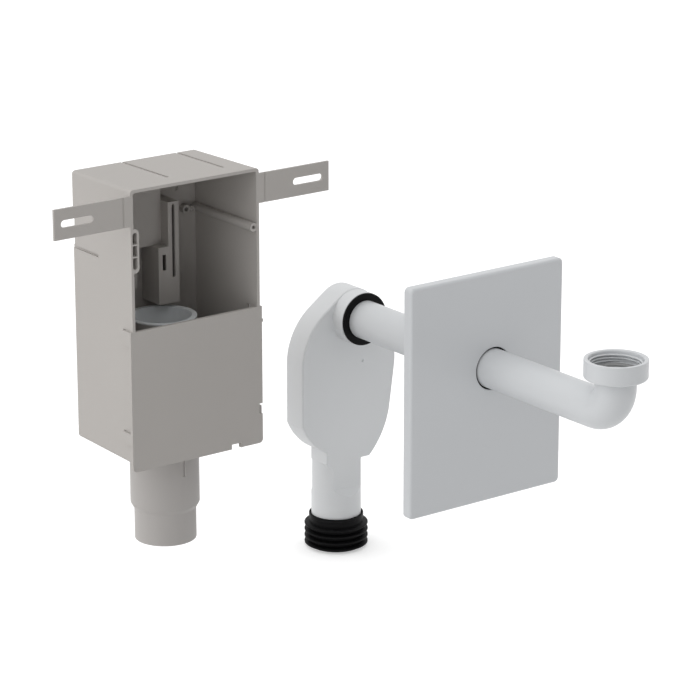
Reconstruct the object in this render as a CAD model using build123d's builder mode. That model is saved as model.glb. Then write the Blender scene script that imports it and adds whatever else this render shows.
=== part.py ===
from build123d import *
import os
from math import acos, atan2, cos, hypot, radians, sin, tan

# Concealed basin trap: the box that is built into the wall, and beside it the flat trap with
# its connection bend and cover plate. Millimetres, +Z up, -Y into the room, +X to the right.
# The origin is the centre of the drain spigot's lower end.

# Wall box
BOX_WIDTH = 120.0
BOX_HEIGHT = 222.0
BOX_DEPTH = 86.0
BOX_WALL = 2.5
BOX_CORNER = 3.0
BOX_LEAN = 1.3
BOX_REAR_ROUND = 2.0
DRAIN_SETBACK = 50.0
DRAIN_DROP = 86.0

# Fixing ears moulded on the box's rim
EAR_LENGTH = 62.0
EAR_HEIGHT = 24.0
EAR_THICKNESS = 2.0
EAR_STRIP = 6.0
EAR_BELOW_TOP = 16.6
SLOT_LENGTH = 29.0
SLOT_WIDTH = 6.0
SLOT_FROM_FOLD = 41.5
FOLD_WIDTH = 1.6
FOLD_SKIN = 0.9

# Grooves and notch in the box's outside
GROOVE_WIDTH = 2.5
GROOVE_DEPTH = 1.3
TOP_GROOVE_LEFT_X = -12.5
TOP_GROOVE_RIGHT_X = 39.5
TOP_GROOVE_LENGTH = 67.6
SIDE_GROOVE_BELOW_TOP = 61.0
SIDE_GROOVE_LENGTH = 38.0
NOTCH_HEIGHT = 23.0
NOTCH_DEPTH = 5.0
NOTCH_WIDTH = 2.0

# Step, pad and screw bosses inside the box
STEP_DEPTH = 14.5
STEP_RIGHT_X = 13.2
STEP_UPPER_HEIGHT = 69.0
STEP_LOWER_RIGHT_X = -10.0
STEP_LOWER_HEIGHT = 102.0
PAD_THICKNESS = 1.5
PAD_FROM_SIDE = 3.5
PAD_HEIGHT = 40.0
PAD_CORNER = 5.0
PAD_HOLE_FROM_EDGE = 17.0
PAD_HOLE_BELOW_TOP = 29.6
PAD_HOLE_DIAMETER = 3.8
BOSS_DIAMETER = 7.0
BOSS_BELOW_TOP = 47.5
BOSS_SETBACK = 0.4
BOSS_BORE = 3.0
BOSS_BORE_DEPTH = 18.0
BOSS_IN_WALL = 1.1
REAR_BOSS_SPACING = 11.1
REAR_BOSS_LENGTH = 5.5
REAR_BOSS_BORE = 3.8
REAR_ROD_DIAMETER = 3.0

# Lug on the rim's left side
LUG_WIDTH = 7.4
LUG_HEIGHT = 35.0
LUG_DEPTH = 10.0
LUG_BELOW_TOP = 48.5
LUG_CORNER = 3.6
LUG_SLOT_WIDTH = 4.2
LUG_SLOT_LENGTH = 29.4
LUG_BAR = 1.0
LUG_BAR_PITCH = 9.6
LUG_FLOOR = 2.0

# Lower cover, flush with the rim
COVER_OVERHANG = 2.0
COVER_HEIGHT = 114.0
COVER_THICKNESS = 3.0
COVER_DROP = 5.0
COVER_CORNER = 3.5
COVER_TAB = 1.0
COVER_TAB_HEIGHT = 2.6
COVER_TAB_BELOW_TOP = 11.8
COVER_NOTCH_WIDTH = 8.7
COVER_NOTCH_HEIGHT = 4.0
COVER_NOTCH_X = 36.0
COVER_EDGE_NOTCH_HEIGHT = 8.8
COVER_EDGE_NOTCH_DEPTH = 3.0
COVER_EDGE_NOTCH_ABOVE = 28.8
CLIP_THICKNESS = 1.7
CLIP_TOOTH = 1.6
CLIP_TOOTH_LENGTH = 3.0
CLIP_CLEARANCE = 0.3
UPPER_CLIP_REACH = 10.4
UPPER_CLIP_HEIGHT = 11.6
UPPER_CLIP_BELOW_TOP = 5.9
LOWER_CLIP_REACH = 12.2
LOWER_CLIP_HEIGHT = 9.4
LOWER_CLIP_ABOVE = 26.2

# Drain connector and the sleeve that lines its socket
SPIGOT_DIAMETER = 50.0
SPIGOT_LENGTH = 25.5
SPIGOT_CONE = 5.5
SOCKET_DIAMETER = 56.0
SOCKET_BELOW_HOLDER = 6.0
DRAIN_WALL = 3.0
DRAIN_FLANGE = 66.0
DRAIN_FLANGE_THICKNESS = 2.5
DRAIN_HOLE_CLEARANCE = 0.1
KEY_GROOVE_WIDTH = 1.6
KEY_GROOVE_DEPTH = 0.8
KEY_GROOVE_LENGTH = 27.5
SLEEVE_DEPTH = 25.0
SLEEVE_WALL = 1.2
SLEEVE_RIM = 1.2

# Trap holder on the box's rear wall
HOLDER_SETBACK = 59.0
HOLDER_WALL = 2.0
HOLDER_RIGHT_X = 23.5
HOLDER_WIDTH = 19.6
HOLDER_BELOW_TOP = 116.0
HOLDER_BOX_HEIGHT = 47.0
HOLDER_POST_WIDTH = 10.2
HOLDER_POST_HEIGHT = 36.0
HOLDER_SLOT_WIDTH = 2.7
HOLDER_SLOT_LENGTH = 60.0
HOLDER_SLOT_BELOW_TOP = 2.3
HOLDER_WINDOW_FROM_SIDE = 3.8
HOLDER_WINDOW_WIDTH = 3.3
HOLDER_WINDOW_HEIGHT = 13.0
HOLDER_WINDOW_BELOW = 6.4

# Trap body: a flat bottle of two shells, seen from the front
INLET_X = 187.7
INLET_Z = 153.8
TRAP_FRONT_Y = -4.5
TRAP_DEPTH = 23.5
TRAP_WALL = 2.5
TRAP_LID = 3.5
TRAP_EDGE_ROUND = 1.5
INLET_LOBE = 23.0
LEFT_LOBE_X = 190.5
LEFT_LOBE_Z = 115.5
LEFT_LOBE = 55.8
LEFT_FOOT_Z = 65.5
LEFT_HIP_SAG = 3.2
RIGHT_LOBE_X = 182.7
RIGHT_LOBE_Z = 110.0
RIGHT_LOBE = 48.3
RIGHT_LEAN = 8.0
RIGHT_FOOT_Z = 67.6
RIGHT_HIP_SAG = 3.6
NECK_STEP = 3.3
NECK_RIGHT_Z = 27.8
NECK_LEFT_Z = 38.5
NECK_CUT = 6.0
DIMPLE_X = 196.5
DIMPLE_Z = 112.8
DIMPLE_DIAMETER = 2.4
DIMPLE_DEPTH = 0.8

# Inlet collar and its seal
COLLAR_DIAMETER = 44.6
COLLAR_LENGTH = 13.2
COLLAR_CLEARANCE = 1.0
SEAL_SEAT_DIAMETER = 41.6
SEAL_SEAT_DEPTH = 9.0
SEAL_LIP_DIAMETER = 44.2
SEAL_LIP_THICKNESS = 1.9
SEAL_WALL = 2.0
SEAL_CLEARANCE = 0.08

# Outlet tube and its ribbed seal
OUTLET_X = 180.5
OUTLET_Y = 11.3
OUTLET_DIAMETER = 42.0
OUTLET_WALL = 2.5
OUTLET_BOTTOM_Z = -48.0
FACET_BOTTOM_Z = -2.5
OUTLET_SEAL_TOP_Z = -22.0
OUTLET_SEAL_LIP = 46.0
OUTLET_SEAL_DIAMETER = 45.0
OUTLET_SEAL_FOOT = 3.0
OUTLET_RIB_DIAMETER = 53.8
OUTLET_RIB_COUNT = 4
OUTLET_RIB_PITCH = 5.6
OUTLET_RIB_BELOW_LIP = 9.2
OUTLET_RIB_EDGE = 0.9
OUTLET_RIB_ROOT = 2.2

# Duct and dip bell inside the rear shell, which hold the water seal
DUCT_WIDTH = 24.0
DUCT_WALL = 2.0
WEIR_Z = 100.0
BELL_WIDTH = 56.0
BELL_WALL = 2.0
BELL_TOP_Z = 128.0
BELL_BOTTOM_Z = 50.0

# Connection bend
PIPE_DIAMETER = 32.0
PIPE_WALL = 1.8
PIPE_INSERTION = 4.5
PIPE_END_CHAMFER = 1.0
BEND_RADIUS = 22.0
BEND_REACH = 325.8
BEND_FLANGE_DIAMETER = 38.4
BEND_FLANGE_THICKNESS = 2.0

# Union nut, G 1 1/4, with its flat gasket
NUT_DIAMETER = 49.2
NUT_HEIGHT = 15.2
NUT_BORE = 39.0
NUT_RELIEF_DIAMETER = 42.0
NUT_THREAD_LENGTH = 8.4
NUT_FLOOR = 2.0
NUT_FOOT_CHAMFER = 1.2
NUT_MOUTH_CHAMFER = 1.0
NUT_ABOVE_AXIS = 29.2
NUT_NECK_CLEARANCE = 0.3
NUT_SEAT_GAP = 0.1
GASKET_THICKNESS = 1.6
GASKET_BORE = 29.0

# Cover plate with the ring that seals it on the pipe
PLATE_WIDTH = 152.8
PLATE_HEIGHT = 188.0
PLATE_DEPTH = 9.0
PLATE_FACE = 2.6
PLATE_RIM = 2.2
PLATE_CORNER = 4.0
PLATE_EDGE_ROUND = 2.5
PLATE_LEFT_OF_PIPE = 82.4
PLATE_BELOW_PIPE = 109.4
PLATE_FROM_TRAP = 182.1
PLATE_HOLE_DIAMETER = 34.8
PLATE_HUB = 2.2
PLATE_RING_CLEARANCE = 0.15

# Places that follow from the sizes
box_half = BOX_WIDTH / 2
box_front_y = -DRAIN_SETBACK
box_back_y = box_front_y + BOX_DEPTH
box_bottom_z = DRAIN_DROP
box_top_z = box_bottom_z + BOX_HEIGHT
box_middle_z = box_bottom_z + BOX_HEIGHT / 2
inner_half = box_half - BOX_WALL
inner_back_y = box_back_y - BOX_WALL
ear_z = box_top_z - EAR_BELOW_TOP
fold_x = box_half + EAR_STRIP
boss_x = inner_half - BOSS_DIAMETER / 2 + BOSS_IN_WALL
boss_z = box_top_z - BOSS_BELOW_TOP
rear_boss_x = boss_x - REAR_BOSS_SPACING
pad_right_x = inner_half - PAD_FROM_SIDE
cover_back_y = box_front_y + COVER_THICKNESS
cover_bottom_z = box_bottom_z - COVER_DROP
cover_top_z = cover_bottom_z + COVER_HEIGHT
cover_half = box_half + COVER_OVERHANG
upper_clip_z = cover_top_z - UPPER_CLIP_BELOW_TOP
lower_clip_z = cover_bottom_z + LOWER_CLIP_ABOVE
socket_r = SOCKET_DIAMETER / 2
spigot_r = SPIGOT_DIAMETER / 2
holder_front_y = box_front_y + HOLDER_SETBACK
holder_bottom_z = box_top_z - HOLDER_BELOW_TOP
socket_top_z = holder_bottom_z - SOCKET_BELOW_HOLDER
holder_shoulder_z = holder_bottom_z + HOLDER_BOX_HEIGHT
holder_left_x = HOLDER_RIGHT_X - HOLDER_WIDTH
holder_window_x = holder_left_x + HOLDER_WINDOW_FROM_SIDE
trap_back_y = TRAP_FRONT_Y + TRAP_DEPTH
trap_joint_y = TRAP_FRONT_Y + TRAP_LID
cavity_back_y = trap_back_y - TRAP_WALL
collar_front_y = TRAP_FRONT_Y - COLLAR_LENGTH
outlet_r = OUTLET_DIAMETER / 2
outlet_bore_r = outlet_r - OUTLET_WALL
neck_left_x = OUTLET_X - outlet_r
neck_right_x = OUTLET_X + outlet_r + NECK_STEP
facet_left_x = OUTLET_X - (outlet_r**2 - (OUTLET_Y - TRAP_FRONT_Y) ** 2) ** 0.5
left_side_x = LEFT_LOBE_X - LEFT_LOBE
pipe_r = PIPE_DIAMETER / 2
pipe_bore_r = pipe_r - PIPE_WALL
pipe_rear_y = TRAP_FRONT_Y + PIPE_INSERTION
bend_mouth_y = TRAP_FRONT_Y - BEND_REACH
bend_centre_y = bend_mouth_y + BEND_RADIUS
bend_centre_z = INLET_Z + BEND_RADIUS
nut_bottom_z = INLET_Z + NUT_ABOVE_AXIS
nut_top_z = nut_bottom_z + NUT_HEIGHT
flange_bottom_z = nut_bottom_z + NUT_FLOOR + NUT_SEAT_GAP
flange_top_z = flange_bottom_z + BEND_FLANGE_THICKNESS
plate_front_y = TRAP_FRONT_Y - PLATE_FROM_TRAP
plate_back_y = plate_front_y + PLATE_DEPTH
plate_x = INLET_X - PLATE_LEFT_OF_PIPE + PLATE_WIDTH / 2
plate_z = INLET_Z - PLATE_BELOW_PIPE + PLATE_HEIGHT / 2


def facing(y):
    """The upright plane at depth y, seen from the room: x to the right, z up."""
    return Plane.XZ.offset(-y)


def keep(piece, name):
    """Labels a finished piece and writes it to its file."""
    piece.part.label = name
    export_step(piece.part, f"parts/{name}.step")


def tangent_angle(lower, lower_r, upper, upper_r, side):
    """Angle at which the outer tangent of two circles leaves them; side 1 left, -1 right."""
    dx = upper[0] - lower[0]
    dz = upper[1] - lower[1]
    return atan2(dz, dx) + side * acos((lower_r - upper_r) / hypot(dx, dz))


def on_circle(centre, radius, angle):
    """The point of a circle at an angle."""
    return (centre[0] + radius * cos(angle), centre[1] + radius * sin(angle))


os.makedirs("parts", exist_ok=True)

# Front view of the step in the box's rear wall.
with BuildSketch() as step_view:
    with BuildLine():
        Polyline(
            (-inner_half, box_top_z - BOX_WALL),
            (STEP_RIGHT_X, box_top_z - BOX_WALL),
            (STEP_RIGHT_X, box_top_z - STEP_UPPER_HEIGHT),
            (STEP_LOWER_RIGHT_X, box_top_z - STEP_UPPER_HEIGHT),
            (STEP_LOWER_RIGHT_X, box_top_z - STEP_LOWER_HEIGHT),
            (-inner_half, box_top_z - STEP_LOWER_HEIGHT),
            close=True,
        )
    make_face()

# Wall box: one moulding with its step, bosses, lug and fixing ears. Its walls lean in a
# little towards the back, so that it leaves the mould.
with BuildPart() as wall_box:
    with BuildSketch(facing(box_front_y)):
        with Locations((0, box_middle_z)):
            RectangleRounded(BOX_WIDTH, BOX_HEIGHT, BOX_CORNER)
    with BuildSketch(facing(box_back_y)):
        with Locations((0, box_middle_z)):
            RectangleRounded(BOX_WIDTH - 2 * BOX_LEAN, BOX_HEIGHT - 2 * BOX_LEAN, BOX_CORNER)
    loft()
    fillet(wall_box.faces().sort_by(Axis.Y)[-1].edges(), radius=BOX_REAR_ROUND)
    with BuildSketch(facing(box_front_y)):
        with Locations((0, box_middle_z)):
            RectangleRounded(2 * inner_half, BOX_HEIGHT - 2 * BOX_WALL, BOX_CORNER - BOX_WALL / 2)
    with BuildSketch(facing(inner_back_y)):
        with Locations((0, box_middle_z)):
            RectangleRounded(
                2 * (inner_half - BOX_LEAN),
                BOX_HEIGHT - 2 * (BOX_WALL + BOX_LEAN),
                BOX_CORNER - BOX_WALL / 2,
            )
    loft(mode=Mode.SUBTRACT)

    # The rear wall steps forward at the upper left, and the step is hollow from behind.
    with BuildSketch(facing(inner_back_y - STEP_DEPTH)):
        add(step_view.sketch)
    extrude(amount=-(STEP_DEPTH + BOX_WALL / 2))
    with BuildSketch(facing(inner_back_y - STEP_DEPTH + BOX_WALL)):
        add(step_view.sketch)
        offset(amount=-2 * BOX_WALL, kind=Kind.INTERSECTION, mode=Mode.REPLACE)
    extrude(amount=-(STEP_DEPTH + BOX_WALL), mode=Mode.SUBTRACT)

    # Raised pad with a screw hole, right of the step.
    with BuildSketch(facing(inner_back_y - PAD_THICKNESS)) as pad_view:
        with Locations((pad_right_x, box_top_z - PAD_HEIGHT)):
            Rectangle(
                pad_right_x - STEP_RIGHT_X + BOX_WALL,
                PAD_HEIGHT - BOX_WALL,
                align=(Align.MAX, Align.MIN),
            )
        fillet(pad_view.vertices().group_by(Axis.Y)[0].sort_by(Axis.X)[-1], radius=PAD_CORNER)
        with Locations((HOLDER_RIGHT_X, holder_shoulder_z)):
            Rectangle(
                HOLDER_POST_WIDTH,
                HOLDER_POST_HEIGHT,
                align=(Align.MAX, Align.MIN),
                mode=Mode.SUBTRACT,
            )
        with Locations((pad_right_x - PAD_HOLE_FROM_EDGE, box_top_z - PAD_HOLE_BELOW_TOP)):
            Circle(PAD_HOLE_DIAMETER / 2, mode=Mode.SUBTRACT)
    extrude(amount=-(PAD_THICKNESS + BOX_WALL / 2))

    # Screw boss along the right wall, and the short one on the rear wall with its rod.
    boss_front_y = box_front_y + BOSS_SETBACK
    rear_boss_y = inner_back_y - REAR_BOSS_LENGTH
    with BuildSketch(facing(boss_front_y)):
        with Locations((boss_x, boss_z)):
            Circle(BOSS_DIAMETER / 2)
    extrude(amount=-(inner_back_y - boss_front_y + BOX_WALL / 2))
    with BuildSketch(facing(rear_boss_y)):
        with Locations((rear_boss_x, boss_z)):
            Circle(BOSS_DIAMETER / 2)
    extrude(amount=-(REAR_BOSS_LENGTH + BOX_WALL / 2))
    with BuildSketch(Plane.YZ.offset(rear_boss_x)):
        with Locations((rear_boss_y + REAR_ROD_DIAMETER / 2, boss_z)):
            Circle(REAR_ROD_DIAMETER / 2)
    extrude(amount=boss_x - rear_boss_x)
    with BuildSketch(facing(boss_front_y)):
        with Locations((boss_x, boss_z)):
            Circle(BOSS_BORE / 2)
    extrude(amount=-BOSS_BORE_DEPTH, mode=Mode.SUBTRACT)
    with BuildSketch(facing(rear_boss_y)):
        with Locations((rear_boss_x, boss_z)):
            Circle(REAR_BOSS_BORE / 2)
    extrude(amount=-REAR_BOSS_LENGTH, mode=Mode.SUBTRACT)

    # Lug on the rim's left side, with a long slot that two thin bars divide in three.
    lug_x = -box_half + LUG_WIDTH / 2
    lug_z = box_top_z - LUG_BELOW_TOP
    with BuildSketch(facing(box_front_y)):
        with Locations((lug_x, lug_z)):
            RectangleRounded(LUG_WIDTH, LUG_HEIGHT, LUG_CORNER)
    extrude(amount=-LUG_DEPTH)
    with BuildSketch(facing(box_front_y)):
        with Locations((lug_x, lug_z)):
            SlotOverall(LUG_SLOT_LENGTH, LUG_SLOT_WIDTH, rotation=90)
            with GridLocations(0, LUG_BAR_PITCH, 1, 2):
                Rectangle(LUG_SLOT_WIDTH, LUG_BAR, mode=Mode.SUBTRACT)
    extrude(amount=-(LUG_DEPTH - LUG_FLOOR), mode=Mode.SUBTRACT)

    # The rim stands back below the upper half, where the cover closes flush with it.
    with BuildSketch(facing(box_front_y)):
        with Locations((0, cover_top_z)):
            Rectangle(2 * BOX_WIDTH, BOX_HEIGHT, align=(Align.CENTER, Align.MAX))
    extrude(amount=-COVER_THICKNESS, mode=Mode.SUBTRACT)

    # Fixing ears with long slots, thinned along the fold beside the rim.
    for side in (-1, 1):
        with BuildSketch(facing(box_front_y)):
            with Locations((side * (inner_half + fold_x + EAR_LENGTH) / 2, ear_z)):
                Rectangle(fold_x + EAR_LENGTH - inner_half, EAR_HEIGHT)
            with Locations((side * (fold_x + SLOT_FROM_FOLD), ear_z)):
                SlotOverall(SLOT_LENGTH, SLOT_WIDTH, mode=Mode.SUBTRACT)
        extrude(amount=-EAR_THICKNESS)
        with BuildSketch(facing(box_front_y)):
            with Locations((side * fold_x, ear_z)):
                Rectangle(FOLD_WIDTH, EAR_HEIGHT)
        extrude(amount=FOLD_SKIN - EAR_THICKNESS, mode=Mode.SUBTRACT)

    # Two grooves in the top, one in the left side and the notch in the rear left edge.
    lean_slope = BOX_LEAN / BOX_DEPTH
    groove_front_y = box_back_y - TOP_GROOVE_LENGTH
    for groove_x in (TOP_GROOVE_LEFT_X, TOP_GROOVE_RIGHT_X):
        with BuildSketch(Plane.YZ.offset(groove_x - GROOVE_WIDTH / 2)):
            with BuildLine():
                Polyline(
                    (groove_front_y, box_top_z - (groove_front_y - box_front_y) * lean_slope),
                    (groove_front_y + GROOVE_DEPTH, box_top_z - BOX_LEAN - GROOVE_DEPTH),
                    (box_back_y, box_top_z - BOX_LEAN - GROOVE_DEPTH),
                    (box_back_y, box_top_z),
                    (groove_front_y, box_top_z),
                    close=True,
                )
            make_face()
        extrude(amount=GROOVE_WIDTH, mode=Mode.SUBTRACT)
    side_groove_z = box_top_z - SIDE_GROOVE_BELOW_TOP
    with BuildSketch(Plane.XY.offset(side_groove_z)):
        with Locations((-box_half, box_back_y)):
            Rectangle(
                BOX_LEAN + GROOVE_DEPTH, SIDE_GROOVE_LENGTH, align=(Align.MIN, Align.MAX)
            )
    extrude(amount=-GROOVE_WIDTH, mode=Mode.SUBTRACT)
    with BuildSketch(Plane.XY.offset(side_groove_z)):
        with Locations((-box_half, box_back_y)):
            Rectangle(BOX_LEAN + NOTCH_WIDTH, NOTCH_DEPTH, align=(Align.MIN, Align.MAX))
    extrude(amount=NOTCH_HEIGHT, mode=Mode.SUBTRACT)

    # Windows for the teeth of the cover's clips, and the hole for the drain connector.
    for clip_z, clip_height, clip_reach in (
        (upper_clip_z, UPPER_CLIP_HEIGHT, UPPER_CLIP_REACH),
        (lower_clip_z, LOWER_CLIP_HEIGHT, LOWER_CLIP_REACH),
    ):
        tooth_y = cover_back_y + clip_reach - CLIP_TOOTH_LENGTH / 2
        with BuildSketch(Plane.YZ):
            with Locations((tooth_y, clip_z)):
                Rectangle(
                    CLIP_TOOTH_LENGTH + 2 * CLIP_CLEARANCE, clip_height + 2 * CLIP_CLEARANCE
                )
        extrude(amount=BOX_WIDTH, both=True, mode=Mode.SUBTRACT)
    with BuildSketch(Plane.XY.offset(box_bottom_z)):
        Circle(socket_r + DRAIN_HOLE_CLEARANCE)
    extrude(amount=BOX_LEAN + BOX_WALL, mode=Mode.SUBTRACT)
keep(wall_box, "wall_box")

# Trap holder: a hollow guide on the rear wall, with one long slot and one short window.
with BuildPart() as trap_holder:
    with BuildSketch(facing(holder_front_y)) as holder_view:
        with Locations((holder_left_x, holder_bottom_z)):
            Rectangle(HOLDER_WIDTH, HOLDER_BOX_HEIGHT, align=(Align.MIN, Align.MIN))
        with Locations((HOLDER_RIGHT_X, holder_shoulder_z)):
            Rectangle(HOLDER_POST_WIDTH, HOLDER_POST_HEIGHT, align=(Align.MAX, Align.MIN))
    extrude(amount=-(inner_back_y - holder_front_y))
    with BuildSketch(facing(holder_front_y + HOLDER_WALL)):
        add(holder_view.sketch_local)
        offset(amount=-HOLDER_WALL, kind=Kind.INTERSECTION, mode=Mode.REPLACE)
    extrude(amount=-(inner_back_y - holder_front_y), mode=Mode.SUBTRACT)
    post_top_z = holder_shoulder_z + HOLDER_POST_HEIGHT
    post_x = HOLDER_RIGHT_X - HOLDER_POST_WIDTH / 2
    slot_z = post_top_z - HOLDER_SLOT_BELOW_TOP - HOLDER_SLOT_LENGTH / 2
    with BuildSketch(facing(holder_front_y)):
        with Locations((post_x, slot_z)):
            SlotOverall(HOLDER_SLOT_LENGTH, HOLDER_SLOT_WIDTH, rotation=90)
        with Locations((holder_window_x, holder_shoulder_z - HOLDER_WINDOW_BELOW)):
            Rectangle(
                HOLDER_WINDOW_WIDTH, HOLDER_WINDOW_HEIGHT, align=(Align.MIN, Align.MAX)
            )
    extrude(amount=-HOLDER_WALL, mode=Mode.SUBTRACT)
keep(trap_holder, "trap_holder")

# Lower cover: a flat panel, held by two clips on each side that snap into the box's walls.
with BuildPart() as lower_cover:
    with BuildSketch(facing(cover_back_y)) as cover_view:
        with Locations((0, cover_bottom_z)):
            Rectangle(2 * cover_half, COVER_HEIGHT, align=(Align.CENTER, Align.MIN))
        fillet(cover_view.vertices().group_by(Axis.Y)[0], radius=COVER_CORNER)
        with Locations((cover_half, cover_top_z - COVER_TAB_BELOW_TOP)):
            Rectangle(2 * COVER_TAB, COVER_TAB_HEIGHT)
        with Locations((COVER_NOTCH_X, cover_bottom_z)):
            Rectangle(
                COVER_NOTCH_WIDTH,
                COVER_NOTCH_HEIGHT,
                align=(Align.CENTER, Align.MIN),
                mode=Mode.SUBTRACT,
            )
        with Locations((cover_half, cover_bottom_z + COVER_EDGE_NOTCH_ABOVE)):
            Rectangle(
                COVER_EDGE_NOTCH_DEPTH,
                COVER_EDGE_NOTCH_HEIGHT,
                align=(Align.MAX, Align.CENTER),
                mode=Mode.SUBTRACT,
            )
    extrude(amount=COVER_THICKNESS)
    clip_inner_x = cover_half - CLIP_THICKNESS
    for clip_z, clip_height, clip_reach in (
        (upper_clip_z, UPPER_CLIP_HEIGHT, UPPER_CLIP_REACH),
        (lower_clip_z, LOWER_CLIP_HEIGHT, LOWER_CLIP_REACH),
    ):
        clip_end_y = cover_back_y + clip_reach
        for side in (-1, 1):
            with BuildSketch(Plane.XY.offset(clip_z)):
                with BuildLine():
                    Polyline(
                        (side * cover_half, cover_back_y - COVER_THICKNESS / 2),
                        (side * cover_half, clip_end_y - CLIP_THICKNESS),
                        (side * clip_inner_x, clip_end_y),
                        (side * (clip_inner_x - CLIP_TOOTH), clip_end_y - CLIP_TOOTH_LENGTH),
                        (side * clip_inner_x, clip_end_y - CLIP_TOOTH_LENGTH),
                        (side * clip_inner_x, cover_back_y - COVER_THICKNESS / 2),
                        close=True,
                    )
                make_face()
            extrude(amount=clip_height / 2, both=True)
keep(lower_cover, "lower_cover")

# Drain connector: spigot below, cone, long socket and the ring that rests on the box's floor.
floor_top_z = box_bottom_z + BOX_WALL + BOX_LEAN
cone_top_z = SPIGOT_LENGTH + SPIGOT_CONE
with BuildPart() as drain_connector:
    with BuildSketch(Plane.XZ):
        with BuildLine():
            Polyline(
                (spigot_r - DRAIN_WALL, 0),
                (spigot_r, 0),
                (spigot_r, SPIGOT_LENGTH),
                (socket_r, cone_top_z),
                (socket_r, floor_top_z),
                (DRAIN_FLANGE / 2, floor_top_z),
                (DRAIN_FLANGE / 2, floor_top_z + DRAIN_FLANGE_THICKNESS),
                (socket_r, floor_top_z + DRAIN_FLANGE_THICKNESS),
                (socket_r, socket_top_z),
                (socket_r - DRAIN_WALL, socket_top_z),
                (socket_r - DRAIN_WALL, cone_top_z),
                (spigot_r - DRAIN_WALL, SPIGOT_LENGTH),
                close=True,
            )
        make_face()
    revolve(axis=Axis.Z)
    with BuildSketch(Plane.XY.offset(box_bottom_z)):
        with Locations((0, -socket_r)):
            Rectangle(KEY_GROOVE_WIDTH, 2 * KEY_GROOVE_DEPTH)
    extrude(amount=-KEY_GROOVE_LENGTH, mode=Mode.SUBTRACT)
keep(drain_connector, "drain_connector")

# Socket sleeve: a thin lining with a rim that lies on the socket's end.
sleeve_r = socket_r - DRAIN_WALL
with BuildPart() as socket_sleeve:
    with BuildSketch(Plane.XZ):
        with BuildLine():
            Polyline(
                (sleeve_r - SLEEVE_WALL, socket_top_z - SLEEVE_DEPTH),
                (sleeve_r, socket_top_z - SLEEVE_DEPTH),
                (sleeve_r, socket_top_z),
                (socket_r, socket_top_z),
                (socket_r, socket_top_z + SLEEVE_RIM),
                (sleeve_r - SLEEVE_WALL, socket_top_z + SLEEVE_RIM),
                close=True,
            )
        make_face()
    revolve(axis=Axis.Z)
keep(socket_sleeve, "socket_sleeve")

# Front view of the trap body: three lobes joined by tangents, and the neck of the outlet.
inlet_centre = (INLET_X, INLET_Z)
left_centre = (LEFT_LOBE_X, LEFT_LOBE_Z)
right_centre = (RIGHT_LOBE_X, RIGHT_LOBE_Z)
left_angle = tangent_angle(left_centre, LEFT_LOBE, inlet_centre, INLET_LOBE, 1)
right_angle = tangent_angle(right_centre, RIGHT_LOBE, inlet_centre, INLET_LOBE, -1)
lean_angle = radians(RIGHT_LEAN)
side_top = on_circle(right_centre, RIGHT_LOBE, -lean_angle)
side_foot = (side_top[0] - (side_top[1] - RIGHT_FOOT_Z) * tan(lean_angle), RIGHT_FOOT_Z)
with BuildSketch() as trap_view:
    with BuildLine():
        Line((left_side_x, LEFT_FOOT_Z), (left_side_x, LEFT_LOBE_Z))
        ThreePointArc(
            (left_side_x, LEFT_LOBE_Z),
            on_circle(left_centre, LEFT_LOBE, (left_angle + radians(180)) / 2),
            on_circle(left_centre, LEFT_LOBE, left_angle),
        )
        Line(
            on_circle(left_centre, LEFT_LOBE, left_angle),
            on_circle(inlet_centre, INLET_LOBE, left_angle),
        )
        ThreePointArc(
            on_circle(inlet_centre, INLET_LOBE, left_angle),
            on_circle(inlet_centre, INLET_LOBE, (left_angle + right_angle) / 2),
            on_circle(inlet_centre, INLET_LOBE, right_angle),
        )
        Line(
            on_circle(inlet_centre, INLET_LOBE, right_angle),
            on_circle(right_centre, RIGHT_LOBE, right_angle),
        )
        ThreePointArc(
            on_circle(right_centre, RIGHT_LOBE, right_angle),
            on_circle(right_centre, RIGHT_LOBE, (right_angle - lean_angle) / 2),
            side_top,
        )
        Line(side_top, side_foot)
        SagittaArc(side_foot, (neck_right_x, NECK_RIGHT_Z), RIGHT_HIP_SAG)
        Line((neck_right_x, NECK_RIGHT_Z), (neck_left_x, NECK_RIGHT_Z))
        Line((neck_left_x, NECK_RIGHT_Z), (neck_left_x, NECK_LEFT_Z))
        SagittaArc((neck_left_x, NECK_LEFT_Z), (left_side_x, LEFT_FOOT_Z), LEFT_HIP_SAG)
    make_face()

# Dip bell and the duct below it, seen from the front.
bell_arch_z = BELL_TOP_Z - BELL_WIDTH / 2
with BuildSketch() as bell_view:
    with Locations((OUTLET_X, bell_arch_z)):
        Circle(BELL_WIDTH / 2)
    with Locations((OUTLET_X, BELL_BOTTOM_Z)):
        Rectangle(BELL_WIDTH, bell_arch_z - BELL_BOTTOM_Z, align=(Align.CENTER, Align.MIN))
    with Locations((OUTLET_X, bell_arch_z)):
        Circle(BELL_WIDTH / 2 - BELL_WALL, mode=Mode.SUBTRACT)
    with Locations((OUTLET_X, BELL_BOTTOM_Z)):
        Rectangle(
            BELL_WIDTH - 2 * BELL_WALL,
            bell_arch_z - BELL_BOTTOM_Z,
            align=(Align.CENTER, Align.MIN),
            mode=Mode.SUBTRACT,
        )

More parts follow.
